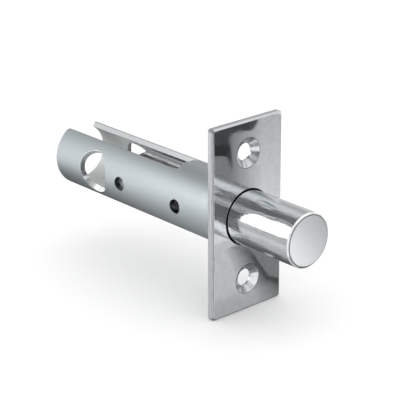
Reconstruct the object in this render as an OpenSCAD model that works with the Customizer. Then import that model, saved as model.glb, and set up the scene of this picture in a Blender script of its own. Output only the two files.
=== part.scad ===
// Mortise deadbolt with a round case: a rectangular faceplate, a rolled tube behind it,
// and a round bolt with a toothed rack that slides 25 mm through both.
// The origin is the centre of the faceplate's front face. +X is the way the bolt is
// thrown, +Z is up towards the upper screw. The bolt is drawn thrown.
// A toothed key of eight teeth goes in through the big cross hole, and one turn of it
// moves the bolt by the whole throw.

/* [Faceplate] */
// Height of the faceplate, along Z
plate_height = 57; // [50:0.5:75]
// Width of the faceplate, along Y
plate_width = 26.5; // [25:0.5:35]
// Thickness of the faceplate
plate_thickness = 2; // [1.6:0.1:3]
// Radius of the faceplate's four corners
plate_corner_r = 1; // [1:0.1:4]
// Bevel along the faceplate's front edge
plate_bevel = 0.5; // [0.1:0.1:0.8]
// Depth of the recess in the faceplate's back that seats the tube
tube_seat = 0.8; // [0.4:0.1:1]
// Distance between the two screw holes
screw_spacing = 38; // [34:0.5:44]
// Diameter of a screw hole
screw_hole_d = 5; // [4:0.1:6]
// Diameter of a countersink at the front face
countersink_d = 8.8; // [7:0.1:10]
// Depth of a countersink
countersink_depth = 1.4; // [0.8:0.1:1.5]

/* [Case tube] */
// Wall of the rolled tube
tube_wall = 1.8; // [1.2:0.1:2.2]
// From the faceplate's front to the rear end of the tube
case_length = 75.5; // [70:0.5:90]
// Width of the slot along the top of the tube, across its outer edges
slot_width = 9.8; // [7:0.1:11]
// From the faceplate's front to the front end of the slot
slot_setback = 24.3; // [22:0.1:27]
// Radius of the two sheet corners where the slot opens at the rear
slot_corner_r = 0.9; // [0.4:0.1:3]
// Width of the butt seam between the slot and the faceplate
seam_width = 0.2; // [0.1:0.05:0.5]
// How far the seam lies to the near side of the tube's top
seam_offset = 0.7; // [0:0.1:2]
// Break on the tube's rear edges
tube_edge = 0.3; // [0.1:0.1:0.6]

/* [Key and rack] */
// From the faceplate's front to the key's axis
key_setback = 57.4; // [55:0.1:62]
// Diameter of the key hole, through both walls
key_hole_d = 12.2; // [11:0.1:14]
// Module of the key's teeth and the rack
rack_module = 1; // [0.9:0.05:1.1]
// Teeth on the key
key_teeth = 8; // [7:1:9]
// Room round the key inside the bolt
key_room = 0.5; // [0.2:0.1:0.8]
// Width of the rack's tongue behind the full barrel
rack_width = 6; // [5:0.5:8]
// From the key's axis forward to the rack's first gap, bolt thrown
rack_lead = 1; // [0.5:0.1:1.5]
// How far the rack runs on behind the key's axis, bolt thrown
rack_overrun = 1.2; // [1:0.1:3]

/* [Bolt] */
// Diameter of the bolt
bolt_d = 16; // [15:0.5:18]
// Room between the bolt and what it slides in, on each side
bolt_clearance = 0.4; // [0.3:0.05:0.6]
// How far the thrown bolt stands out of the faceplate
bolt_projection = 24; // [20:0.5:30]
// How far the bolt travels
bolt_throw = 25; // [20:0.5:26]
// Chamfer round the bolt's nose
nose_chamfer = 0.6; // [0.2:0.1:2]
// From the faceplate's front to the rear of the full barrel, bolt thrown
barrel_setback = 45; // [42:0.5:49]
// Chamfer round the rear of the full barrel
barrel_chamfer = 0.8; // [0.2:0.1:2]
// Chamfer under the rear of the rack's tongue
tongue_chamfer = 0.6; // [0.2:0.1:1]

/* [Detent and stop] */
// From the faceplate's front to the detent's front hole
detent_setback = 19.7; // [14:0.1:21]
// Diameter of the two detent holes in the tube
detent_hole_d = 4.2; // [3.5:0.1:4.6]
// Diameter of the detent ball
ball_d = 4.6; // [4.6:0.1:5.2]
// Room round the ball in its pocket, on each side
ball_room = 0.1; // [0.05:0.05:0.3]
// How deep the ball stays inside the tube's bore
ball_inset = 0.3; // [0.2:0.05:0.6]
// Wire of the detent spring
spring_wire = 0.45; // [0.3:0.05:0.5]
// Pitch of the detent spring's coils
spring_pitch = 0.95; // [0.95:0.05:1.2]
// Number of the spring's coils
spring_coils = 6; // [4:1:7]
// Room round the spring in its pocket, on each side
spring_room = 0.5; // [0.3:0.1:0.7]
// Room at each end of the spring
spring_end_gap = 0.1; // [0.05:0.05:0.3]
// Diameter of the stop pin
pin_d = 2.5; // [2:0.1:3]
// How far the stop pin stands out of the bolt
pin_proud = 1.3; // [0.8:0.1:1.8]
// How deep the stop pin is pressed into the bolt
pin_seat = 2.4; // [1.5:0.1:2.4]
// Gap between the stop pin and the slot's front end, bolt thrown
pin_gap = 0.2; // [0.1:0.1:0.5]
// Chamfer round the top of the stop pin
pin_chamfer = 0.3; // [0.1:0.1:0.5]

/* [Hidden] */
round_fn = 96;
small_fn = 48;
hull_fn = 32;
// Cuts run this far past the faces that they open
over = 1;
bolt_r = bolt_d / 2;
bore_r = bolt_r + bolt_clearance;
tube_r = bore_r + tube_wall;
tube_front = tube_seat - plate_thickness;
tube_rear = -case_length;
inner_corner_r = plate_corner_r - plate_bevel;
// The slot is pierced in the flat sheet, so its cut faces point at the tube's axis
slot_half_angle = asin(slot_width / 2 / tube_r);

// The rack has straight-sided teeth that match the key's pitch circle
key_x = -key_setback;
pressure_angle = 20;
dedendum_factor = 1.25;
tooth_pitch = PI * rack_module;
addendum = rack_module;
dedendum = dedendum_factor * rack_module;
pitch_z = -rack_module * key_teeth / 2;
rack_tip_z = pitch_z + addendum;
rack_root_z = pitch_z - dedendum;
gap_half_at_tip = tooth_pitch / 4 + addendum * tan(pressure_angle);
gap_half_at_root = tooth_pitch / 4 - dedendum * tan(pressure_angle);
window_r = rack_module * key_teeth / 2 + addendum + key_room;
window_x = key_x + bolt_throw;
rack_front = window_x + sqrt(window_r * window_r - rack_tip_z * rack_tip_z);
rack_rear = key_x - rack_overrun;
first_gap_x = key_x + rack_lead;
last_gap = floor((rack_front - gap_half_at_tip - first_gap_x) / tooth_pitch);

// The detent lies along -Y, through the near side of the bolt
detent_x = -detent_setback;
ball_r = ball_d / 2;
ball_y = ball_inset + ball_r - bore_r;
pocket_r = ball_r + ball_room;
spring_mean_r = pocket_r - spring_room - spring_wire / 2;
spring_seat_y = ball_y + sqrt(ball_r * ball_r - spring_mean_r * spring_mean_r);
spring_y = spring_seat_y + spring_wire / 2 + spring_end_gap;
spring_length = spring_pitch * spring_coils;
pocket_bottom_y = spring_y + spring_length + spring_wire / 2 + spring_end_gap;
drill_point_angle = 118;
drill_point = pocket_r / tan(drill_point_angle / 2);

// The stop pin stands up from the bolt into the slot
pin_r = pin_d / 2;
pin_x = -(slot_setback + pin_gap + pin_r);
pin_foot_z = bolt_r - pin_seat;

// The spring's wire is swept ring by ring along a helix
rings_per_coil = 8;
wire_sides = 6;
helix_slope = atan2(spring_pitch, 2 * PI * spring_mean_r);
helix_rings = rings_per_coil * spring_coils;

function helix_centre(ring) =
    let (turn = ring / rings_per_coil)
    [spring_mean_r * cos(360 * turn), spring_mean_r * sin(360 * turn), spring_pitch * turn];

function helix_ring(ring) =
    let (
        a = 360 * ring / rings_per_coil,
        outward = [cos(a), sin(a), 0],
        upward = [sin(a) * sin(helix_slope), -cos(a) * sin(helix_slope), cos(helix_slope)]
    )
    [for (k = [0 : wire_sides - 1])
        let (b = 360 * k / wire_sides)
        helix_centre(ring) + spring_wire / 2 * (cos(b) * outward + sin(b) * upward)];

function helix_band(ring) =
    [for (k = [0 : wire_sides - 1])
        let (
            a = ring * wire_sides + k,
            b = ring * wire_sides + (k + 1) % wire_sides
        )
        each [[a, a + wire_sides, b + wire_sides], [a, b + wire_sides, b]]];

helix_points = [for (ring = [0 : helix_rings]) each helix_ring(ring)];
helix_faces = concat(
    [[for (k = [0 : wire_sides - 1]) k]],
    [for (ring = [0 : helix_rings - 1]) each helix_band(ring)],
    [[for (k = [wire_sides - 1 : -1 : 0]) helix_rings * wire_sides + k]]);
spring_gap = min([for (i = [0 : helix_rings - rings_per_coil / 2])
    for (j = [i + rings_per_coil / 2 : helix_rings])
        norm(helix_centre(i) - helix_centre(j))]) - spring_wire;
echo(spring_least_gap_to_itself = spring_gap);

// Turns a shape drawn along Z so that it runs along X
module along_x() {
    rotate([0, 90, 0]) children();
}

// Turns a shape drawn along Z so that it runs along -Y, towards the near side
module towards_near_side() {
    rotate([90, 0, 0]) children();
}

// Extrudes a shape drawn in the X-Z plane right through the case
module across_y() {
    width = 2 * (tube_r + over);
    rotate([90, 0, 0]) linear_extrude(height = width, center = true) children();
}

// Steel plate with a bevelled front edge, a hole for the bolt, a recess behind it for the tube
// and two countersunk holes
module faceplate() {
    color("silver")
    difference() {
        hull() {
            translate([-plate_thickness, 0, 0]) along_x()
                linear_extrude(height = plate_thickness - plate_bevel)
                    rounded_rectangle(plate_height, plate_width, plate_corner_r);
            translate([-plate_bevel, 0, 0]) along_x()
                linear_extrude(height = plate_bevel)
                    rounded_rectangle(plate_height - 2 * plate_bevel,
                        plate_width - 2 * plate_bevel, inner_corner_r);
        }
        translate([-plate_thickness - over, 0, 0]) along_x()
            cylinder(r = bore_r, h = plate_thickness + 2 * over, $fn = round_fn);
        translate([-plate_thickness - over, 0, 0]) along_x()
            cylinder(r = tube_r, h = tube_seat + over, $fn = round_fn);
        for (side = [-1, 1])
            translate([0, 0, side * screw_spacing / 2]) screw_hole();
    }
}

module rounded_rectangle(height, width, r) {
    hull()
        for (sx = [-1, 1], sy = [-1, 1])
            translate([sx * (height / 2 - r), sy * (width / 2 - r)]) circle(r = r, $fn = hull_fn);
}

// A through hole with a conical countersink at the front face
module screw_hole() {
    slope = (countersink_d - screw_hole_d) / 2 / countersink_depth;
    cone_height = countersink_depth + over;
    translate([-plate_thickness - over, 0, 0]) along_x()
        cylinder(d = screw_hole_d, h = plate_thickness + 2 * over, $fn = small_fn);
    translate([-countersink_depth, 0, 0]) along_x()
        cylinder(r1 = screw_hole_d / 2, r2 = screw_hole_d / 2 + slope * cone_height,
            h = cone_height, $fn = small_fn);
}

// Sheet rolled to a tube and welded into the plate's back: open at the rear, slotted along
// the top, butted at the seam
module case_tube() {
    color("lightsteelblue")
    difference() {
        along_x() rotate_extrude($fn = round_fn)
            polygon([
                [bore_r, tube_front],
                [tube_r, tube_front],
                [tube_r, tube_rear + tube_edge],
                [tube_r - tube_edge, tube_rear],
                [bore_r + tube_edge, tube_rear],
                [bore_r, tube_rear + tube_edge]
            ]);
        slot_wedge();
        for (side = [-1, 1])
            rotate([-side * slot_half_angle, 0, 0])
                linear_extrude(height = tube_r + over) sheet_corner(side);
        translate([-slot_setback - over, -seam_offset - seam_width / 2, 0])
            cube([slot_setback + over, seam_width, tube_r + over]);
        across_y() translate([key_x, 0]) circle(d = key_hole_d, $fn = round_fn);
        for (x = [detent_x, detent_x - bolt_throw])
            translate([x, 0, 0]) towards_near_side()
                cylinder(d = detent_hole_d, h = tube_r + over, $fn = small_fn);
    }
}

// The slot as a wedge that opens out from the tube's axis, up and out at the rear
module slot_wedge() {
    top = tube_r + over;
    half = top * tan(slot_half_angle);
    translate([tube_rear - over, 0, 0]) along_x()
        linear_extrude(height = case_length - slot_setback + over)
            polygon([[0, 0], [-top, -half], [-top, half]]);
}

// What rounds the sheet's corner beside the slot's open end, seen square on to the sheet
module sheet_corner(side) {
    translate([tube_rear, 0]) scale([1, side])
        difference() {
            translate([-over, -over]) square(slot_corner_r + over);
            translate([slot_corner_r, slot_corner_r]) circle(r = slot_corner_r, $fn = small_fn);
        }
}

// Turned bar: a full barrel in front, and behind it a tongue with the rack cut in its flat top
module bolt() {
    color("gainsboro")
    difference() {
        union() {
            turned_bar(-barrel_setback, bolt_projection, barrel_chamfer, nose_chamfer);
            rack_tongue();
        }
        across_y() key_window();
        across_y() rack_gaps();
        detent_pocket();
        translate([pin_x, 0, pin_foot_z]) cylinder(r = pin_r, h = bolt_d, $fn = small_fn);
    }
}

// A round bar along X, chamfered at both ends
module turned_bar(rear, front, rear_chamfer, front_chamfer) {
    along_x() rotate_extrude($fn = round_fn)
        polygon([
            [0, rear],
            [bolt_r - rear_chamfer, rear],
            [bolt_r, rear + rear_chamfer],
            [bolt_r, front - front_chamfer],
            [bolt_r - front_chamfer, front],
            [0, front]
        ]);
}

// The bar behind the barrel, milled away above the rack's teeth and on both sides of them
module rack_tongue() {
    intersection() {
        turned_bar(rack_rear, window_x, tongue_chamfer, tongue_chamfer);
        translate([rack_rear - over, -rack_width / 2, rack_tip_z - bolt_d])
            cube([window_x - rack_rear + over, rack_width, bolt_d]);
    }
}

// The room that the key needs inside the bolt over the whole throw, above the rack
module key_window() {
    window_rear = -barrel_setback - over;
    translate([window_rear, rack_tip_z])
        square([window_x - window_rear, window_r - rack_tip_z]);
    intersection() {
        translate([window_x, 0]) circle(r = window_r, $fn = round_fn);
        translate([window_x - over, rack_tip_z]) square(2 * window_r);
    }
}

// The gaps between the rack's teeth
module rack_gaps() {
    for (i = [0 : last_gap])
        translate([first_gap_x + i * tooth_pitch, 0])
            polygon([
                [-gap_half_at_tip, rack_tip_z],
                [-gap_half_at_root, rack_root_z],
                [gap_half_at_root, rack_root_z],
                [gap_half_at_tip, rack_tip_z]
            ]);
}

// A drilled pocket for the ball and its spring, in from the near side of the bolt
module detent_pocket() {
    translate([detent_x, pocket_bottom_y, 0]) towards_near_side() {
        cylinder(r = pocket_r, h = pocket_bottom_y + bolt_d, $fn = small_fn);
        translate([0, 0, -drill_point])
            cylinder(r1 = 0, r2 = pocket_r, h = drill_point, $fn = small_fn);
    }
}

// Pressed into the top of the bolt: it meets the slot's front end when the bolt is thrown
module stop_pin() {
    shank = pin_seat + pin_proud - pin_chamfer;
    color("dimgray")
    translate([pin_x, 0, pin_foot_z]) {
        cylinder(r = pin_r, h = shank, $fn = small_fn);
        translate([0, 0, shank])
            cylinder(r1 = pin_r, r2 = pin_r - pin_chamfer, h = pin_chamfer, $fn = small_fn);
    }
}

// Steel ball that springs into a detent hole at each end of the throw
module detent_ball() {
    color("slategray")
    translate([detent_x, ball_y, 0]) sphere(r = ball_r, $fn = small_fn);
}

// Compression spring behind the ball
module detent_spring() {
    color("darkgray")
    translate([detent_x, spring_y, 0]) rotate([-90, 0, 0])
        polyhedron(points = helix_points, faces = helix_faces, convexity = 10);
}

faceplate();
case_tube();
bolt();
stop_pin();
detent_ball();
detent_spring();
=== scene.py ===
import math

import bpy
import numpy as np
from mathutils import Matrix, Vector
from mathutils.geometry import delaunay_2d_cdt


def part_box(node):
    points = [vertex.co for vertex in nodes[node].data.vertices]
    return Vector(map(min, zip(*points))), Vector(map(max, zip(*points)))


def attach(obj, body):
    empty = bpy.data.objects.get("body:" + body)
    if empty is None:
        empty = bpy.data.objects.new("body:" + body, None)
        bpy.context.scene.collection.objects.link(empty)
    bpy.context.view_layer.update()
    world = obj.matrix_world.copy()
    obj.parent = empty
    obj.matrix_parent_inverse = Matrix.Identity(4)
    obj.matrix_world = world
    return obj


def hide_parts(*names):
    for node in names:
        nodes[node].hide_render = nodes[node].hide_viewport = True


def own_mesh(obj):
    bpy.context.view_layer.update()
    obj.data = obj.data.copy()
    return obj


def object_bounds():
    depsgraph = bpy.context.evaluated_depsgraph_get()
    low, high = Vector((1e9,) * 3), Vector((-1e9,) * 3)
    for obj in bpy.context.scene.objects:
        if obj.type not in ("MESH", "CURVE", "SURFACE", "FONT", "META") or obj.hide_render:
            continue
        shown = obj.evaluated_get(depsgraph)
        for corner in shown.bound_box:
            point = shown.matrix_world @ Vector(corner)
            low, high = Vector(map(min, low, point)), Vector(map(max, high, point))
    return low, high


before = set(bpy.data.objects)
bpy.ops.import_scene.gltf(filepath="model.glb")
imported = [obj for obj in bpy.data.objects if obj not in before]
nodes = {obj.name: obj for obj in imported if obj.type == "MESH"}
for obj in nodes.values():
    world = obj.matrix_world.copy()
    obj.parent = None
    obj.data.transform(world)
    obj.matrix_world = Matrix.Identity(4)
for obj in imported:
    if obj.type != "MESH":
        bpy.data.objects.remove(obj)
cad_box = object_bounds()


# Faceplate: steel strip, 57 by 26.5 by 2 mm, blanked, countersunk for two screws, polished and chromed.
# The wheel leaves shallow waves and fine lines, and the plating rounds every edge a little. The tube is
# welded into its back, and the bolt slides through its middle hole.
plate_low, plate_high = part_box("faceplate")
screw_height = 0.019
sink_radius = 0.0045
front_skin, back_skin = 0.00003, 0.0001
outline_margin = 0.00125


def start_effect(name, inputs, outputs):
    """A new shader node group with these named float inputs and outputs of these socket kinds. It comes back
    with the sockets that its own nodes take from and give to."""
    group = bpy.data.node_groups.new(name, "ShaderNodeTree")
    for label, value in inputs.items():
        socket = group.interface.new_socket(label, in_out="INPUT", socket_type="NodeSocketFloat")
        socket.default_value = value
    for label, kind in outputs.items():
        group.interface.new_socket(label, in_out="OUTPUT", socket_type=f"NodeSocket{kind}")
    return group, group.nodes.new("NodeGroupInput").outputs, group.nodes.new("NodeGroupOutput").inputs


def give(tree, socket, value):
    """Set an input socket to a number, or link another node's socket to it."""
    if isinstance(value, (int, float)):
        socket.default_value = value
    else:
        tree.links.new(value, socket)


def work_out(tree, operation, *values):
    """One maths node; each of the values is a number or a socket."""
    node = tree.nodes.new("ShaderNodeMath")
    node.operation = operation
    for socket, value in zip(node.inputs, values):
        give(tree, socket, value)
    return node.outputs[0]


def spread(tree, value, low, high, to_low=0.0, to_high=1.0):
    """value mapped from low and high to two other numbers or sockets, and held between them."""
    node = tree.nodes.new("ShaderNodeMapRange")
    for label, given in (
        ("Value", value), ("From Min", low), ("From Max", high), ("To Min", to_low), ("To Max", to_high),
    ):
        give(tree, node.inputs[label], given)
    return node.outputs["Result"]


def stretched_noise(tree, given, detail, rough):
    """Noise over the piece's own coordinates in metres, with the effect's scales along X and across it."""
    place = tree.nodes.new("ShaderNodeTexCoord")
    scale = tree.nodes.new("ShaderNodeCombineXYZ")
    product = tree.nodes.new("ShaderNodeVectorMath")
    product.operation = "MULTIPLY"
    for socket, label in zip(scale.inputs, ("Per metre along", "Per metre across", "Per metre across")):
        tree.links.new(given[label], socket)
    tree.links.new(place.outputs["Object"], product.inputs[0])
    tree.links.new(scale.outputs[0], product.inputs[1])
    noise = tree.nodes.new("ShaderNodeTexNoise")
    noise.inputs["Scale"].default_value = 1
    noise.inputs["Detail"].default_value = detail
    noise.inputs["Roughness"].default_value = rough
    tree.links.new(product.outputs[0], noise.inputs["Vector"])
    return noise.outputs["Fac"]


def make_polish_waves():
    """Shallow waves that a polishing wheel or a drawing die leaves: Height in metres."""
    group, given, result = start_effect(
        "polish_waves", {"Per metre along": 60, "Per metre across": 250, "Depth": 2e-6}, {"Height": "Float"}
    )
    noise = stretched_noise(group, given, 3, 0.45)
    group.links.new(work_out(group, "MULTIPLY", noise, given["Depth"]), result["Height"])
    return group


def make_fine_lines():
    """Sparse scratches along X: a Mask that is 1 on a line and 0 beside it."""
    group, given, result = start_effect(
        "fine_lines",
        {"Per metre along": 80, "Per metre across": 9000, "Least": 0.60, "Most": 0.72},
        {"Mask": "Float"},
    )
    noise = stretched_noise(group, given, 2, 0.5)
    group.links.new(spread(group, noise, given["Least"], given["Most"]), result["Mask"])
    return group


def make_dull_patches():
    """Uneven gloss: Roughness that wanders between Least and Most over the surface."""
    group, given, result = start_effect(
        "dull_patches",
        {"Per metre along": 200, "Per metre across": 200, "Least": 0.1, "Most": 0.2},
        {"Roughness": "Float"},
    )
    noise = stretched_noise(group, given, 5, 0.6)
    group.links.new(spread(group, noise, 0.3, 0.7, given["Least"], given["Most"]), result["Roughness"])
    return group


def make_soft_edges():
    """Edges rounded by plating and handling: the rounded Normal, and a Mask that is 1 along the edge."""
    flat_cosine, edge_cosine = 0.995, 0.93
    group, given, result = start_effect(
        "soft_edges", {"Radius": 0.00012}, {"Normal": "Vector", "Mask": "Float"}
    )
    bevel = group.nodes.new("ShaderNodeBevel")
    flat = group.nodes.new("ShaderNodeNewGeometry")
    match = group.nodes.new("ShaderNodeVectorMath")
    match.operation = "DOT_PRODUCT"
    group.links.new(given["Radius"], bevel.inputs["Radius"])
    group.links.new(bevel.outputs["Normal"], result["Normal"])
    group.links.new(bevel.outputs["Normal"], match.inputs[0])
    group.links.new(flat.outputs["Normal"], match.inputs[1])
    group.links.new(spread(group, match.outputs["Value"], flat_cosine, edge_cosine), result["Mask"])
    return group


def make_cloudy_tone():
    """Faint clouds where the plating is thinner or handled: a Mask between 0 and 1."""
    group, given, result = start_effect(
        "cloudy_tone", {"Per metre along": 400, "Per metre across": 400}, {"Mask": "Float"}
    )
    noise = stretched_noise(group, given, 6, 0.7)
    group.links.new(spread(group, noise, 0.35, 0.68), result["Mask"])
    return group


def make_painted_rim_shade():
    """Painted shade: a thin dark line painted round the edge of a countersink or a turned end, where the
    rounded
    edge reads dark: a Mask of up to Share. Height is how far above and below the bolt's axis the middle of
    that round edge lies, in metres."""
    line_starts_x, line_full_x = -0.001, -0.0006
    group, given, result = start_effect(
        "painted_rim_shade",
        {"Height": 0.0, "Radius": 0.005, "Half width": 0.0002, "Share": 1.0},
        {"Mask": "Float"},
    )
    place = group.nodes.new("ShaderNodeTexCoord")
    split = group.nodes.new("ShaderNodeSeparateXYZ")
    group.links.new(place.outputs["Object"], split.inputs[0])
    x, y, z = split.outputs
    up = work_out(group, "SUBTRACT", work_out(group, "ABSOLUTE", z), given["Height"])
    square = work_out(group, "MULTIPLY_ADD", up, up, work_out(group, "MULTIPLY", y, y))
    past_edge = work_out(group, "SUBTRACT", work_out(group, "SQRT", square), given["Radius"])
    off_edge = work_out(group, "ABSOLUTE", past_edge)
    line = spread(group, off_edge, 0.0, given["Half width"], given["Share"], 0.0)
    front = spread(group, x, line_starts_x, line_full_x)
    group.links.new(work_out(group, "MULTIPLY", line, front), result["Mask"])
    return group


polish_waves = make_polish_waves()
fine_lines = make_fine_lines()
dull_patches = make_dull_patches()
soft_edges = make_soft_edges()
cloudy_tone = make_cloudy_tone()
painted_rim_shade = make_painted_rim_shade()


def place_effect(tree, effect, values):
    """Place a shared effect in a material, its inputs set in their order, and give back its outputs."""
    node = tree.nodes.new("ShaderNodeGroup")
    node.node_tree = effect
    for socket, value in zip(node.inputs, values):
        socket.default_value = value
    return node.outputs


def metal(name, colour, gloss, waves, lines, line_depth, edge, bare=1.0, cloud=0.0, ring=None, grazing=1.0):
    """A bare or plated metal. gloss, waves, lines and ring are the inputs of dull_patches, polish_waves,
    fine_lines and painted_rim_shade in their order: three textures, each with its scale along X and across it
    first, and the painted shade line round an edge, if it has one. line_depth is how deep a scratch is and
    edge the radius that softens the edges, both in metres. bare is below 1 for a chalky plating, cloud is how
    far the clouds darken it, and grazing is below 1 for a plating that reflects less along its outlines."""
    scratch_dulls, handling_shines = 0.06, 0.1
    material = bpy.data.materials.new(name)
    material.use_nodes = True
    tree = material.node_tree
    shader = tree.nodes["Principled BSDF"]
    shader.inputs["Base Color"].default_value = (*colour, 1)
    shader.inputs["Metallic"].default_value = bare
    shader.inputs["Specular Tint"].default_value = (grazing, grazing, grazing, 1)
    if cloud or ring:
        tone = tree.nodes.new("ShaderNodeMix")
        tone.data_type = "RGBA"
        tone.inputs["A"].default_value = (*colour, 1)
        tone.inputs["B"].default_value = (0.02, 0.02, 0.025, 1)
        clouds = place_effect(tree, cloudy_tone, (waves[0], 400))["Mask"]
        dark = work_out(tree, "MULTIPLY", clouds, cloud)
        # Painted shade: the dark line round an edge is mixed into the base colour along with the clouds.
        if ring:
            dark = work_out(tree, "ADD", place_effect(tree, painted_rim_shade, ring)["Mask"], dark)
        tree.links.new(dark, tone.inputs["Factor"])
        tree.links.new(tone.outputs["Result"], shader.inputs["Base Color"])
    scratch = place_effect(tree, fine_lines, lines)["Mask"]
    patches = place_effect(tree, dull_patches, gloss)["Roughness"]
    rough = work_out(tree, "MULTIPLY_ADD", scratch, scratch_dulls, patches)
    wave_height = place_effect(tree, polish_waves, waves)["Height"]
    height = work_out(tree, "MULTIPLY_ADD", scratch, -line_depth, wave_height)
    bump = tree.nodes.new("ShaderNodeBump")
    bump.inputs["Distance"].default_value = 1
    rounded = place_effect(tree, soft_edges, (edge,))
    tree.links.new(height, bump.inputs["Height"])
    tree.links.new(rounded["Normal"], bump.inputs["Normal"])
    tree.links.new(bump.outputs["Normal"], shader.inputs["Normal"])
    least_rough = gloss[2]
    edge_rough = work_out(tree, "MULTIPLY_ADD", rounded["Mask"], -handling_shines * least_rough, rough)
    tree.links.new(edge_rough, shader.inputs["Roughness"])
    return material


def finish_node(name, *materials):
    """Give a CAD node these materials in place of its own."""
    mesh = nodes[name].data
    mesh.materials.clear()
    for material in materials:
        mesh.materials.append(material)


# Painted shade: a dark line painted round the rim of each countersink, on the plate and in the cone.
sink_rim_shade = (screw_height, 0.00448, 0.00014, 0.8)
plate_face, plate_sink, plate_edge = range(3)
finish_node("faceplate", metal(
    "polished_chrome_plate", (0.865, 0.892, 0.912),
    gloss=(250, 250, 0.02, 0.08), waves=(60, 90, 2e-6), lines=(400, 3000, 0.66, 0.78),
    line_depth=5e-8, edge=0.00015, cloud=0.11, ring=sink_rim_shade,
), metal(
    "turned_chrome_countersink", (0.84, 0.865, 0.89),
    gloss=(900, 900, 0.14, 0.26), waves=(500, 900, 1.6e-5), lines=(3000, 3000, 0.62, 0.74),
    line_depth=1e-7, edge=0.0003, cloud=0.2, ring=sink_rim_shade,
), metal(
    "rolled_chrome_edge", (0.70, 0.71, 0.725),
    gloss=(3000, 60, 0.16, 0.30), waves=(1300, 30, 1e-4), lines=(4000, 60, 0.58, 0.70),
    line_depth=4e-6, edge=0.00015,
))
for face in nodes["faceplate"].data.polygons:
    middle = face.center
    off_screw = math.hypot(middle.y, abs(middle.z) - screw_height)
    between_faces = plate_low.x + back_skin < middle.x < plate_high.x - front_skin
    at_side = abs(middle.y) > plate_high.y - outline_margin
    at_end = abs(middle.z) > plate_high.z - outline_margin
    if off_screw < sink_radius and between_faces:
        face.material_index = plate_sink
    elif abs(face.normal.x) < 0.5 and (at_side or at_end):
        face.material_index = plate_edge
    else:
        face.material_index = plate_face


# Case tube: steel strip, pierced flat and then rolled round, so that the cut faces of the slot and the holes
# point at the tube's axis, and the strip's edges butt in a seam in front of the slot. Satin zinc plated, with
# glossier cut faces, and welded into the plate's back. The key holes' walls carry painted light in their
# lighter colour, and the small holes' walls painted shade in their dark one. Its sizes and the flat strip's
# points are in mm.
tube_low, tube_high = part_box("case_tube")
tube_outer = round(-tube_low.z * 1000, 2)
tube_front = round(tube_high.x * 1000, 2)
tube_rear = round(tube_low.x * 1000, 2)
tube_wall = 1.8
slot_front = -24.3
slot_half_width = 4.9
corner_radius = 1.1
seam_side = -0.7
seam_half_gap = 0.15
key_hole_x = -57.4
key_hole_half_length = 6.1
key_hole_half_height = 6.5
small_holes_x = (-19.7, -44.7)
small_hole_radius = 2.1
slot_turn = math.asin(slot_half_width / tube_outer)
seam_turn = math.asin(seam_side / tube_outer)
far_turn, near_turn = math.pi / 2, 3 * math.pi / 2
whole_way = math.tau * tube_outer
tube_outside, tube_sheared, tube_inside, tube_pierced_lit, tube_small_hole_shade = range(5)


def walk(start, end, step):
    """Points from start up to but not including end, no further apart than step."""
    count = math.ceil(math.dist(start, end) / step)
    (x0, y0), (x1, y1) = start, end
    return [(x0 + (x1 - x0) * i / count, y0 + (y1 - y0) * i / count) for i in range(count)]


def quarter(centre, first_angle):
    """A rounded corner's quarter circle, counter-clockwise from first_angle in degrees, without its end."""
    x, way = centre
    angles = [math.radians(first_angle + turned) for turned in range(0, 90, 15)]
    return [(x + corner_radius * math.cos(a), way + corner_radius * math.sin(a)) for a in angles]


def strip_outline():
    """The flat strip: (x, way round the tube's outside from its top) in mm, counter-clockwise."""
    curved, straight = 0.5, 3
    seam_start = seam_turn * tube_outer + seam_half_gap
    seam_end = seam_turn * tube_outer - seam_half_gap + whole_way
    slot_far, slot_near = slot_turn * tube_outer, whole_way - slot_turn * tube_outer
    corner_x = tube_rear + corner_radius
    return (
        walk((tube_front, seam_start), (tube_front, seam_end), curved)
        + walk((tube_front, seam_end), (slot_front, seam_end), straight)
        + walk((slot_front, seam_end), (slot_front, slot_near), curved)
        + walk((slot_front, slot_near), (corner_x, slot_near), straight)
        + quarter((corner_x, slot_near - corner_radius), 90)
        + walk((tube_rear, slot_near - corner_radius), (tube_rear, slot_far + corner_radius), curved)
        + quarter((corner_x, slot_far + corner_radius), 180)
        + walk((corner_x, slot_far), (slot_front, slot_far), straight)
        + walk((slot_front, slot_far), (slot_front, seam_start), curved)
        + walk((slot_front, seam_start), (tube_front, seam_start), straight)
    )


def hole_outline(x, side_turn, half_length, half_height, count):
    """A hole on the flat strip, clockwise, with its half height as seen from the side."""
    points = []
    for i in range(count):
        a = -math.tau * i / count
        turned = math.asin(half_height * math.sin(a) / tube_outer)
        points.append((x + half_length * math.cos(a), (side_turn + turned) * tube_outer))
    return points


def cut_edges():
    """Each outline of the strip, with how far its outer and inner edges are rounded, how far the punch's
    break leaves the inner edge out of line with the outer one, all in mm, and its finish."""
    pressed_tight, worn, cut = 0.04, 0.45, 0.32
    key_hole_points, small_hole_points = 96, 36
    strip = strip_outline()
    rounding = []
    for x, way in strip:
        if x > slot_front - 0.01:
            rounding.append(pressed_tight)
        elif x < tube_rear + 2 and way < 8:
            rounding.append(worn)
        else:
            rounding.append(cut)
    edges = [(strip, rounding, 0.12, 0.0, tube_sheared)]
    for side_turn, upward in ((far_turn, -1), (near_turn, 1)):
        hole = hole_outline(
            key_hole_x, side_turn, key_hole_half_length, key_hole_half_height, key_hole_points
        )
        up = (np.array(hole)[:, 1] / tube_outer - side_turn) * upward
        punch_break = 0.2 - 0.3 * up
        edges.append((hole, 0.22, 0.15, punch_break, tube_pierced_lit))
    for x in small_holes_x:
        hole = hole_outline(x, near_turn, small_hole_radius, small_hole_radius, small_hole_points)
        edges.append((hole, 0.08, 0.1, 0.0, tube_small_hole_shade))
    return edges


def edge_normals(loop):
    """For each point the normals of the edges before and after it, away from the sheet."""
    points = np.array(loop)
    along = np.roll(points, -1, 0) - points
    along /= np.linalg.norm(along, axis=1)[:, None]
    after = np.stack([along[:, 1], -along[:, 0]], 1)
    return points, np.roll(after, 1, 0), after


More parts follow.
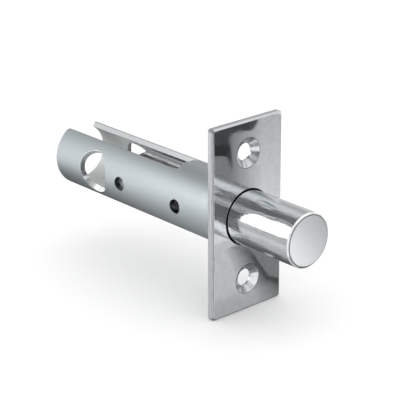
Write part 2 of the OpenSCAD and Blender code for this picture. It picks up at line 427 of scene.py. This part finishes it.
def edge_rings(points, before, after, outer_round, inner_round, slant):
    """The rounded cut edge, from the strip's outside to its inside: rings of points, each with its depth
    under the outside and how far its normals lean outward."""
    mitre = (before + after) / (1 + np.sum(before * after, axis=1))[:, None]
    outer_steps, inner_steps = (0, 30, 60, 90), (90, 120, 150, 180)
    rings = []
    for k, degrees in enumerate(outer_steps + inner_steps):
        a = math.radians(degrees)
        if k < len(outer_steps):
            r = np.broadcast_to(outer_round, len(points))
            depth = r * (1 - math.cos(a))
        else:
            r = np.broadcast_to(inner_round, len(points))
            depth = tube_wall - r * (1 + math.cos(a))
        offset = slant * depth / tube_wall - r * (1 - math.sin(a))
        lean = math.cos(a) + slant / tube_wall * math.sin(a) ** 4
        rings.append((points + mitre * offset[:, None], depth, lean))
    return rings


def rolled(flat, depth):
    """Where points of the flat strip end up on the tube, that deep under its outside, in metres."""
    turned = flat[:, 1] / tube_outer
    r = tube_outer - depth
    return np.stack([flat[:, 0], r * np.sin(turned), r * np.cos(turned)], 1) / 1000


def facing(flat, plane_normal, outward):
    """The direction on the tube of a normal given in the strip's plane and how far it points outward."""
    turned = flat[1] / tube_outer
    level = math.sqrt(max(0, 1 - outward * outward))
    u, v = plane_normal[0] * level, plane_normal[1] * level
    return (
        u,
        v * math.cos(turned) + outward * math.sin(turned),
        -v * math.sin(turned) + outward * math.cos(turned),
    )


def within(points, loop):
    """Which of the points lie inside the closed loop."""
    found = np.zeros(len(points), bool)
    for (x0, y0), (x1, y1) in zip(loop, np.roll(loop, -1, 0)):
        crosses = (y0 > points[:, 1]) != (y1 > points[:, 1])
        with np.errstate(divide="ignore", invalid="ignore"):
            found ^= crosses & (points[:, 0] < (x1 - x0) * (points[:, 1] - y0) / (y1 - y0) + x0)
    return found


def near_loop(points, loop, room):
    """Which of the points lie closer than room to the loop's edges."""
    close = np.zeros(len(points), bool)
    for a, b in zip(loop, np.roll(loop, -1, 0)):
        share = np.clip((points - a) @ (b - a) / ((b - a) @ (b - a)), 0, 1)
        close |= np.linalg.norm(points - (a + share[:, None] * (b - a)), axis=1) < room
    return close


def on_sheet(points, outlines, room=0.0):
    """Which of the points lie on the strip and not in a hole, that far from every outline."""
    found = within(points, outlines[0])
    for hole in outlines[1:]:
        found &= ~within(points, hole)
    if room:
        for outline in outlines:
            found &= ~near_loop(points, outline, room)
    return found


def fill_sheet(outlines):
    """One broad face of the strip: its points, those of the outlines first, and the triangles over them."""
    grid_along, grid_round, room = 2.5, 0.5, 0.3
    x, way = np.meshgrid(
        np.arange(tube_rear + 1, tube_front, grid_along), np.arange(-1, whole_way, grid_round)
    )
    grid = np.stack([x.ravel(), way.ravel()], 1)
    flat = np.concatenate([*outlines, grid[on_sheet(grid, outlines, room)]])
    edges, start = [], 0
    for outline in outlines:
        edges += [(start + i, start + (i + 1) % len(outline)) for i in range(len(outline))]
        start += len(outline)
    squeezed = [Vector((x * grid_round / grid_along, way)) for x, way in flat]
    made = delaunay_2d_cdt(squeezed, edges, [], 0, 1e-7)
    source = np.array([origin[0] for origin in made[3]])
    triangles = source[np.array(made[2])]
    return flat, triangles[on_sheet(flat[triangles].mean(axis=1), outlines)]


def edge_facets(points, before, after, rings, finish):
    """The facets from each ring of a cut edge to the next: their corners, the directions they face there and
    their finish. Where the strip's two edges face each other in the seam, they are as dull as the inside."""
    smooth = np.sum(before * after, axis=1) > 0.8
    half = (before + after) / np.linalg.norm(before + after, axis=1)[:, None]
    facets = []
    for k, ((_, upper, upper_lean), (_, lower, lower_lean)) in enumerate(zip(rings, rings[1:])):
        for i in range(len(points)):
            j = (i + 1) % len(points)
            ni = half[i] if smooth[i] else after[i]
            nj = half[j] if smooth[j] else after[i]
            directions = (
                facing(points[i], ni, upper_lean[i]), facing(points[i], ni, lower_lean[i]),
                facing(points[j], nj, lower_lean[j]), facing(points[j], nj, upper_lean[j]),
            )
            before_slot = min(points[i][0], points[j][0]) > slot_front - 0.01
            in_seam = finish == tube_sheared and k > 0 and before_slot and abs(ni[1]) > 0.5
            corners = (upper[i], lower[i], lower[j], upper[j])
            facets.append((corners, directions, tube_inside if in_seam else finish))
    return facets


def roll_tube():
    """The rolled strip: its cut edges first, then its outside and its inside."""
    places, facets, outer_rings, inner_rings = [], [], [], []
    for loop, outer_round, inner_round, slant, finish in cut_edges():
        points, before, after = edge_normals(loop)
        slant = np.broadcast_to(slant, len(points))
        rings = []
        for flat, depth, lean in edge_rings(points, before, after, outer_round, inner_round, slant):
            rings.append((flat, len(places) + np.arange(len(points)), lean))
            places.extend(rolled(flat, depth))
        facets += edge_facets(points, before, after, rings, finish)
        outer_rings.append(rings[0])
        inner_rings.append(rings[-1])
    for rings, depth, outward, finish in (
        (outer_rings, 0, 1, tube_outside), (inner_rings, tube_wall, -1, tube_inside),
    ):
        flat, triangles = fill_sheet([outline for outline, _, _ in rings])
        indices = [index for _, ring, _ in rings for index in ring]
        filling = flat[len(indices):]
        indices += range(len(places), len(places) + len(filling))
        places.extend(rolled(filling, depth))
        for corners in triangles:
            (ax, ay), (bx, by), (cx, cy) = flat[corners]
            if ((bx - ax) * (cy - ay) - (by - ay) * (cx - ax)) * outward < 0:
                corners = corners[::-1]
            directions = [facing(flat[c], (0, 0), outward) for c in corners]
            facets.append(([indices[c] for c in corners], directions, finish))
    mesh = bpy.data.meshes.new("rolled_tube")
    faces = [[int(corner) for corner in corners] for corners, _, _ in facets]
    mesh.from_pydata([tuple(place) for place in places], [], faces)
    mesh.polygons.foreach_set("material_index", [finish for _, _, finish in facets])
    mesh.polygons.foreach_set("use_smooth", [True] * len(faces))
    mesh.normals_split_custom_set([direction for _, directions, _ in facets for direction in directions])
    return mesh


scene = bpy.context.scene
tube = bpy.data.objects.new("rolled_tube", roll_tube())
scene.collection.objects.link(tube)
for material in (
    metal(
        "satin_zinc_outside", (0.642, 0.694, 0.714),
        gloss=(900, 900, 0.50, 0.58), waves=(300, 3000, 1e-6), lines=(120, 6000, 0.62, 0.74),
        line_depth=2e-7, edge=0.0001,
    ),
    metal(
        "sheared_zinc_edge", (0.66, 0.68, 0.69),
        gloss=(700, 900, 0.24, 0.36), waves=(600, 1500, 1.8e-5), lines=(300, 1500, 0.52, 0.66),
        line_depth=3e-6, edge=0.0001,
    ),
    metal(
        "satin_zinc_inside", (0.74, 0.77, 0.765),
        gloss=(600, 600, 0.40, 0.55), waves=(300, 3000, 1e-6), lines=(120, 6000, 0.58, 0.70),
        line_depth=3e-7, edge=0.0001, bare=0.6,
    ),
    # Painted light: the key holes' walls are a glossy pierced finish, and their colour is made lighter than
    # the zinc's to stand in for the light they catch.
    metal(
        "pierced_hole_painted_light", (0.94, 0.965, 0.97),
        gloss=(700, 900, 0.16, 0.28), waves=(300, 2500, 1e-5), lines=(300, 2500, 0.52, 0.66),
        line_depth=2e-6, edge=0.0001,
    ),
    # Painted shade: the small holes' walls are coloured dark for the shade inside them.
    metal(
        "shaded_small_hole", (0.28, 0.29, 0.30),
        gloss=(900, 900, 0.24, 0.36), waves=(900, 900, 4e-6), lines=(3000, 3000, 0.60, 0.72),
        line_depth=1e-6, edge=0.0001,
    ),
):
    tube.data.materials.append(material)
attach(tube, "case")
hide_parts("case_tube")


# Bolt: round steel bar, 16 mm across, ground and chromed bright, with long fine streaks from the grinding.
# Its nose is faced in a lathe to a satin finish, and behind the barrel it is milled down to a tongue with
# the rack's teeth. It slides in the tube and through the plate.
bolt_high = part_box("bolt")[1]
nose_rim_length = 0.0006
milled_depth = 0.0009
milled_end_x = -0.0445
bolt_bar, bolt_nose, bolt_milled, bolt_rim = range(4)
# Painted shade: a dark line painted round the bolt's nose, near its turned rim.
nose_rim_shade = (0.0, 0.0074, 0.00028, 0.95)
finish_node("bolt", metal(
    "bright_chrome_bar", (0.865, 0.888, 0.905),
    gloss=(100, 1500, 0.04, 0.16), waves=(260, 1700, 4.5e-5), lines=(200, 2400, 0.52, 0.62),
    line_depth=8e-6, edge=0.00012, cloud=0.1, grazing=0.7,
), metal(
    "faced_satin_nose", (0.865, 0.89, 0.91),
    gloss=(500, 500, 0.28, 0.34), waves=(100, 100, 1e-6), lines=(900, 2500, 0.62, 0.74),
    line_depth=1e-7, edge=0.00012, ring=nose_rim_shade,
), metal(
    "milled_steel_rack", (0.70, 0.71, 0.72),
    gloss=(900, 900, 0.25, 0.36), waves=(4000, 300, 2e-6), lines=(4000, 300, 0.58, 0.70),
    line_depth=3e-7, edge=0.00012,
# Painted highlight: the turned rim is glossier than the nose, and its lighter colour adds a painted highlight
# round the nose.
), metal(
    "turned_rim_painted_light", (0.94, 0.945, 0.95),
    gloss=(500, 500, 0.16, 0.24), waves=(100, 100, 1e-6), lines=(900, 2500, 0.62, 0.74),
    line_depth=1e-7, edge=0.0002, ring=nose_rim_shade,
))
for face in nodes["bolt"].data.polygons:
    middle = face.center
    if middle.x > bolt_high.x - 0.00001:
        face.material_index = bolt_nose
    elif middle.x > bolt_high.x - nose_rim_length + 0.00001:
        face.material_index = bolt_rim
    elif math.hypot(middle.y, middle.z) < bolt_high.z - milled_depth or middle.x < milled_end_x:
        face.material_index = bolt_milled
    else:
        face.material_index = bolt_bar


# Stop pin and detent ball: the pin is a ground steel dowel, 2.5 mm across, pressed into the top of the bolt.
# The ball is a bearing ball, 4.6 mm across, loose in a drilled pocket in the bolt's near side.
finish_node("stop_pin", metal(
    "ground_steel_pin", (0.60, 0.61, 0.62),
    gloss=(900, 900, 0.25, 0.35), waves=(300, 1000, 1e-6), lines=(3000, 3000, 0.62, 0.74),
    line_depth=2e-7, edge=0.0001,
))
finish_node("detent_ball", metal(
    "bearing_steel_ball", (0.62, 0.62, 0.63),
    gloss=(900, 900, 0.08, 0.14), waves=(300, 300, 1e-6), lines=(3000, 3000, 0.66, 0.78),
    line_depth=1e-7, edge=0.0001,
))


# Detent spring: a compression spring of round drawn wire, 0.45 mm thick, wound in six coils with open ends.
# It sits behind the ball in the bolt's pocket and rides with the bolt at one length; a real one shortens as
# the ball is pressed in.
spring_low, spring_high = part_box("detent_spring")
wire_radius = 0.000225
pocket_x = -0.0197


def wind_spring(first_y):
    """The wound wire, its middle line starting at that y."""
    coil_radius, coils, pitch = 0.001675, 6, 0.00095
    around, per_coil = 12, 40
    places = []
    for step in range(coils * per_coil + 1):
        turn = step / per_coil
        a = math.tau * turn
        outward = np.array([math.cos(a), 0, -math.sin(a)])
        centre = np.array([pocket_x, first_y + pitch * turn, 0]) + coil_radius * outward
        for k in range(around):
            b = math.tau * k / around
            places.append(centre + wire_radius * (math.cos(b) * outward + np.array([0, math.sin(b), 0])))
    last = len(places) - around
    faces = [
        (i + k, i + (k + 1) % around, i + around + (k + 1) % around, i + around + k)
        for i in range(0, last, around) for k in range(around)
    ]
    faces += [tuple(reversed(range(around))), tuple(range(last, last + around))]
    mesh = bpy.data.meshes.new("wound_spring")
    mesh.from_pydata([tuple(place) for place in places], [], faces)
    mesh.polygons.foreach_set("use_smooth", [True] * len(faces))
    return mesh


spring = bpy.data.objects.new("wound_spring", wind_spring(spring_low.y + wire_radius))
scene.collection.objects.link(spring)
spring.data.materials.append(metal(
    "drawn_spring_wire", (0.50, 0.50, 0.51),
    gloss=(900, 900, 0.3, 0.4), waves=(300, 300, 1e-6), lines=(3000, 3000, 0.62, 0.74),
    line_depth=2e-7, edge=0.00005,
))
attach(spring, "bolt_assembly")
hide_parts("detent_spring")
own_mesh(spring)


# Floor: a pale sheet of matt paper under the object, not part of it. It lies level with the lowest point
# of the plate, and the metal doesn't mirror it.
floor_height = cad_box[0].z
floor_half = 3.0
floor_mesh = bpy.data.meshes.new("floor")
floor_mesh.from_pydata(
    [(x * floor_half, y * floor_half, floor_height) for x, y in ((-1, -1), (1, -1), (1, 1), (-1, 1))],
    [], [(0, 1, 2, 3)],
)
floor = bpy.data.objects.new("floor", floor_mesh)
scene.collection.objects.link(floor)
floor.visible_glossy = False
paper = bpy.data.materials.new("white_paper")
paper.use_nodes = True
paper_shader = paper.node_tree.nodes["Principled BSDF"]
paper_shader.inputs["Base Color"].default_value = (0.98, 0.98, 0.98, 1)
paper_shader.inputs["Roughness"].default_value = 0.9
floor_mesh.materials.append(paper)


# Camera: a long lens on the photo's side, in front of the plate, above it and to its near side. Its place
# comes from the corners of the plate and the outlines of the tube and the bolt in the photo.
camera_data = bpy.data.cameras.new("camera")
camera = bpy.data.objects.new("camera", camera_data)
scene.collection.objects.link(camera)
camera_data.sensor_width = 36
camera_data.lens = 143.05
camera_data.clip_start = 0.01
camera_data.clip_end = 20
azimuth = math.radians(48.22)
elevation = math.radians(21.19)
roll = math.radians(-0.27)
distance = 0.46029
aim = Vector((-0.01975, -0.00031, -0.00054))
back = Vector((
    math.sin(azimuth) * math.cos(elevation),
    -math.cos(azimuth) * math.cos(elevation),
    math.sin(elevation),
))
camera.rotation_mode = "QUATERNION"
camera.rotation_quaternion = (-back).to_track_quat("-Z", "Y") @ Matrix.Rotation(roll, 4, "Z").to_quaternion()
camera.location = aim + back * distance
scene.camera = camera


# Cards: grey and white card round the object that only the metal sees, as in a product photographer's
# studio. Sizes and places are in mm, and levels are what a card reads out of 255 in the picture.
def grey(level, metal_share=0.87):
    """The light of a card that reads that level in the picture, seen in a metal of that reflectance."""
    share = level / 255
    linear = share / 12.92 if share <= 0.04045 else ((share + 0.055) / 1.055) ** 2.4
    return linear / metal_share


def stage_card(name, mesh):
    """Put a glowing mesh in the scene that only the metal sees; its node tree and the glow to be coloured."""
    piece = bpy.data.objects.new(name, mesh)
    scene.collection.objects.link(piece)
    piece.visible_camera = False
    piece.visible_diffuse = False
    piece.visible_shadow = False
    material = bpy.data.materials.new(name)
    material.use_nodes = True
    tree = material.node_tree
    tree.nodes.remove(tree.nodes["Principled BSDF"])
    glow = tree.nodes.new("ShaderNodeEmission")
    tree.links.new(glow.outputs[0], tree.nodes["Material Output"].inputs["Surface"])
    mesh.materials.append(material)
    return tree, glow


def card(name, corners, *levels):
    """A flat card: one level for all of it, or one for each corner, down one side and up the other."""
    mesh = bpy.data.meshes.new(name)
    last = len(corners) - 1
    faces = [tuple(range(last + 1))]
    if len(levels) > 1:
        faces = [(i, i + 1, last - i - 1, last - i) for i in range(last // 2)]
    mesh.from_pydata([[c / 1000 for c in corner] for corner in corners], [], faces)
    light = mesh.color_attributes.new("light", "FLOAT_COLOR", "POINT")
    for i in range(len(corners)):
        here = grey(levels[i % len(levels)])
        light.data[i].color = (here, here, here, 1)
    tree, glow = stage_card(name, mesh)
    painted = tree.nodes.new("ShaderNodeVertexColor")
    painted.layer_name = "light"
    tree.links.new(painted.outputs["Color"], glow.inputs["Color"])


def seen_in_plate(x, y, z):
    """The point at that x that the camera sees in the plate's mirror at (0, y, z)."""
    spot = Vector((0, y, z))
    mirrored_eye = Vector((-camera.location.x, camera.location.y, camera.location.z)) * 1000
    away = spot - mirrored_eye
    return spot + away * (x / away.x)


def plate_card(name, x, spots, *levels):
    """A card seen in the plate's mirror with its corners at those (y, z) spots of the plate."""
    card(name, [seen_in_plate(x, y, z) for y, z in spots], *levels)


plate_card("dark_card", 60, (
    (-15, 32), (4.6, 32), (4, 28.5), (3, 26.4), (1.3, 25.2), (-2.8, 26), (-5.9, 26), (-7.1, 25),
    (-6.55, 21.7), (-6.15, 19.4), (-5.95, 15), (-7.9, 19.6), (-9.3, 20.3), (-15, 21.6),
), 64)
plate_card("darker_card", 59, (
    (-15, 24.3), (-7.4, 23.4), (-6.8, 23), (-6.15, 19.4),
    (-5.95, 15), (-7.9, 19.6), (-9.3, 20.3), (-15, 21.6),
), 47)
plate_card("middle_card", 62, ((-15, 22), (-6, 22), (-6, 8), (-15, 8)), 120)
plate_card("upper_haze", 61, ((-7.2, 27), (-6.6, 8), (5.5, 8), (5.5, 28)), 116, 122, 199, 178)
plate_card("curved_line", 60, (
    (-4, -7), (0, -9.2), (2.8, -12.6), (5.4, -16.4), (8.4, -20.6), (14, -23.2),
    (14, -25.6), (7.6, -21.6), (4.4, -17.2), (1.8, -13.4), (-1, -10.4), (-5, -8.6),
), 128, 108, 80, 72, 72, 68, 68, 72, 72, 80, 108, 132)
plate_card("line_haze", 62, (
    (-8.5, -7.5), (-6.8, -11), (-5, -15), (-2, -19), (3, -23.5), (5, -26), (5, -31),
    (14, -31), (14, -24.6), (7.8, -21.4), (4.5, -17), (1.9, -13.2), (-0.8, -10.2), (-4.5, -7.5),
), 184, 182, 178, 172, 162, 152, 150, 130, 75, 84, 90, 92, 98, 108)
plate_card("lower_grey", 61, (
    (-4, -7), (0, -9.2), (2.8, -12.6), (5.4, -16.4), (8.4, -20.6), (14, -23.2), (14, -4), (-4, -4),
), 120)
plate_card("upper_backdrop", 66, ((16, 32), (-16, 32), (-16, -5), (16, -5)), 172, 172, 214, 214)
plate_card("lower_backdrop", 66, (
    (16, -5), (16, -15), (16, -21), (16, -24), (16, -31),
    (-16, -31), (-16, -24), (-16, -21), (-16, -15), (-16, -5),
), 190, 189, 186, 168, 160, 160, 168, 186, 189, 190)
card("end_card", [(51.8, y, z) for y, z in (
    (-40, 8), (-40, -60), (30, -60), (30, -22), (14, -4), (-10, 6),
)], 246)
card("end_backdrop", [(52.5, y, z) for y, z in ((0, -30), (33.5, -30), (33.5, 12), (0, 12))], 196)
card("under_nose", [(x, y, -26) for x, y in (
    (21.5, 4), (24, -6), (30, -17), (40, -20), (40, 20), (24, 7),
)], 185)
card("over_nose", [(x, y, 16) for x, y in ((27, -10), (36, -10), (36, 14), (27, 14))], 250)
card("before_nose", [(80, y, z) for y, z in (
    (-70, -77), (-72, -32), (-68, 4), (-57, 34), (-39, 62), (-10, 86),
    (-5, 68), (-27, 48), (-45, 26), (-56, 0), (-60, -32), (-57, -77),
)], 250)
card("edge_card", [(80, y, z) for y, z in ((-101, -90), (-101, 10), (-150, 10), (-150, -90))], 196)
card("corner_card", [(-3.2, y, z) for y, z in ((-18, 27.9), (-18, 33), (-13.3, 33), (-13.3, 27.9))], 160)
card("beside_nose", [(x, 46, z) for x, z in ((16, 12), (16, 42), (36, 42), (36, 12))], 245)
card("rear_shade", [(x, y, -60) for x, y in ((-112, -78), (-112, 78), (-320, 78), (-320, -78))], 40)


# Curved screen: thin card bent round the object's axis, not part of it, and shaded in bands along its
# length. It stands far enough back that the tube sees it and the bolt's nose doesn't.
def band_ramp(tree, bands, metal_share):
    """A colour ramp over one whole turn, from -180 to 180 degrees: degrees, level and, where the light is
    warm, the share of blue. A level over 255 is a light too bright for the picture."""
    overexposed = 1.7
    ramp = tree.nodes.new("ShaderNodeValToRGB")
    stops = ramp.color_ramp.elements
    for angle, *_ in bands[1:-1]:
        stops.new(angle / 360 + 0.5)
    for stop, (_, level, *blue) in zip(stops, bands):
        light = grey(min(level, 255), metal_share) * (overexposed if level > 255 else 1)
        stop.color = (light, light, light * (blue[0] if blue else 1), 1)
    return ramp


def turn_round_axis(tree, vector):
    """How far round the X axis a vector points, from the near side upward, as 0 to 1 for -180 to 180
    degrees, and how far along X."""
    split = tree.nodes.new("ShaderNodeSeparateXYZ")
    tree.links.new(vector, split.inputs[0])
    x, y, z = split.outputs
    turned = work_out(tree, "ARCTAN2", z, work_out(tree, "MULTIPLY", y, -1))
    return work_out(tree, "MULTIPLY_ADD", turned, 1 / math.tau, 0.5), x


screen_radius, screen_front, screen_back, screen_steps = 100, -97, -320, 72
screen_places = []
for i in range(screen_steps):
    a = math.tau * i / screen_steps
    y, z = -screen_radius * math.cos(a), screen_radius * math.sin(a)
    screen_places += [(x / 1000, y / 1000, z / 1000) for x in (screen_front, screen_back)]
count = len(screen_places)
screen_mesh = bpy.data.meshes.new("tube_screen")
screen_mesh.from_pydata(
    screen_places, [], [(i, i + 1, (i + 3) % count, (i + 2) % count) for i in range(0, count, 2)]
)
tree, glow = stage_card("tube_screen", screen_mesh)
place = tree.nodes.new("ShaderNodeTexCoord")
screen_ramp = band_ramp(tree, [
    (-180, 140), (-150, 56), (-110, 46), (-88, 54), (-70, 86), (-56, 138), (-40, 204), (-22, 244),
    (6, 228), (30, 212), (52, 190), (74, 168), (98, 156, 0.94), (107, 66, 0.9), (127, 66, 0.92),
    (129, 225), (133, 225), (135, 128), (172, 128), (180, 140),
], 0.68)
turned = turn_round_axis(tree, place.outputs["Object"])[0]
tree.links.new(turned, screen_ramp.inputs["Fac"])
tree.links.new(screen_ramp.outputs["Color"], glow.inputs["Color"])


# Studio light: white from every side for what is matt, as in a light tent. The metal sees grey bands round
# the object's long axis instead, one set behind the plate and one before it, which run into each other.
white_light = 1.15
bands_meet = 0.4
world = bpy.data.worlds.new("studio")
scene.world = world
world.use_nodes = True
world.cycles.sampling_method = "NONE"
tree = world.node_tree
behind_ramp = band_ramp(tree, [
    (-180, 240), (-166, 225), (-150, 92), (-104, 96), (-88, 140), (-72, 176), (-50, 178), (-30, 206),
    (-14, 172), (2, 178), (9, 290), (48, 290), (56, 180), (62, 100), (92, 106), (106, 190), (118, 208),
    (135, 185), (150, 170), (164, 200), (180, 240),
], 0.87)
before_ramp = band_ramp(tree, [
    (-180, 225), (-166, 215), (-158, 70), (-146, 58), (-138, 108), (-90, 104), (-74, 136), (-56, 100),
    (32, 98), (44, 180), (56, 180), (66, 104), (92, 108), (108, 215), (130, 225), (150, 166), (168, 110),
    (180, 225),
], 0.87)
place = tree.nodes.new("ShaderNodeTexCoord")
turned, along = turn_round_axis(tree, place.outputs["Generated"])
side = tree.nodes.new("ShaderNodeMapRange")
side.interpolation_type = "SMOOTHSTEP"
side.inputs["From Min"].default_value = -bands_meet
side.inputs["From Max"].default_value = bands_meet
tree.links.new(along, side.inputs["Value"])
both = tree.nodes.new("ShaderNodeMix")
both.data_type = "RGBA"
tree.links.new(side.outputs["Result"], both.inputs["Factor"])
for ramp, label in ((behind_ramp, "A"), (before_ramp, "B")):
    tree.links.new(turned, ramp.inputs["Fac"])
    tree.links.new(ramp.outputs["Color"], both.inputs[label])
seen_by = tree.nodes.new("ShaderNodeLightPath")
choice = tree.nodes.new("ShaderNodeMix")
choice.data_type = "RGBA"
choice.inputs["A"].default_value = (white_light, white_light, white_light, 1)
tree.links.new(seen_by.outputs["Is Glossy Ray"], choice.inputs["Factor"])
tree.links.new(both.outputs["Result"], choice.inputs["B"])
tree.links.new(choice.outputs["Result"], tree.nodes["Background"].inputs["Color"])
scene.view_settings.view_transform = "Standard"
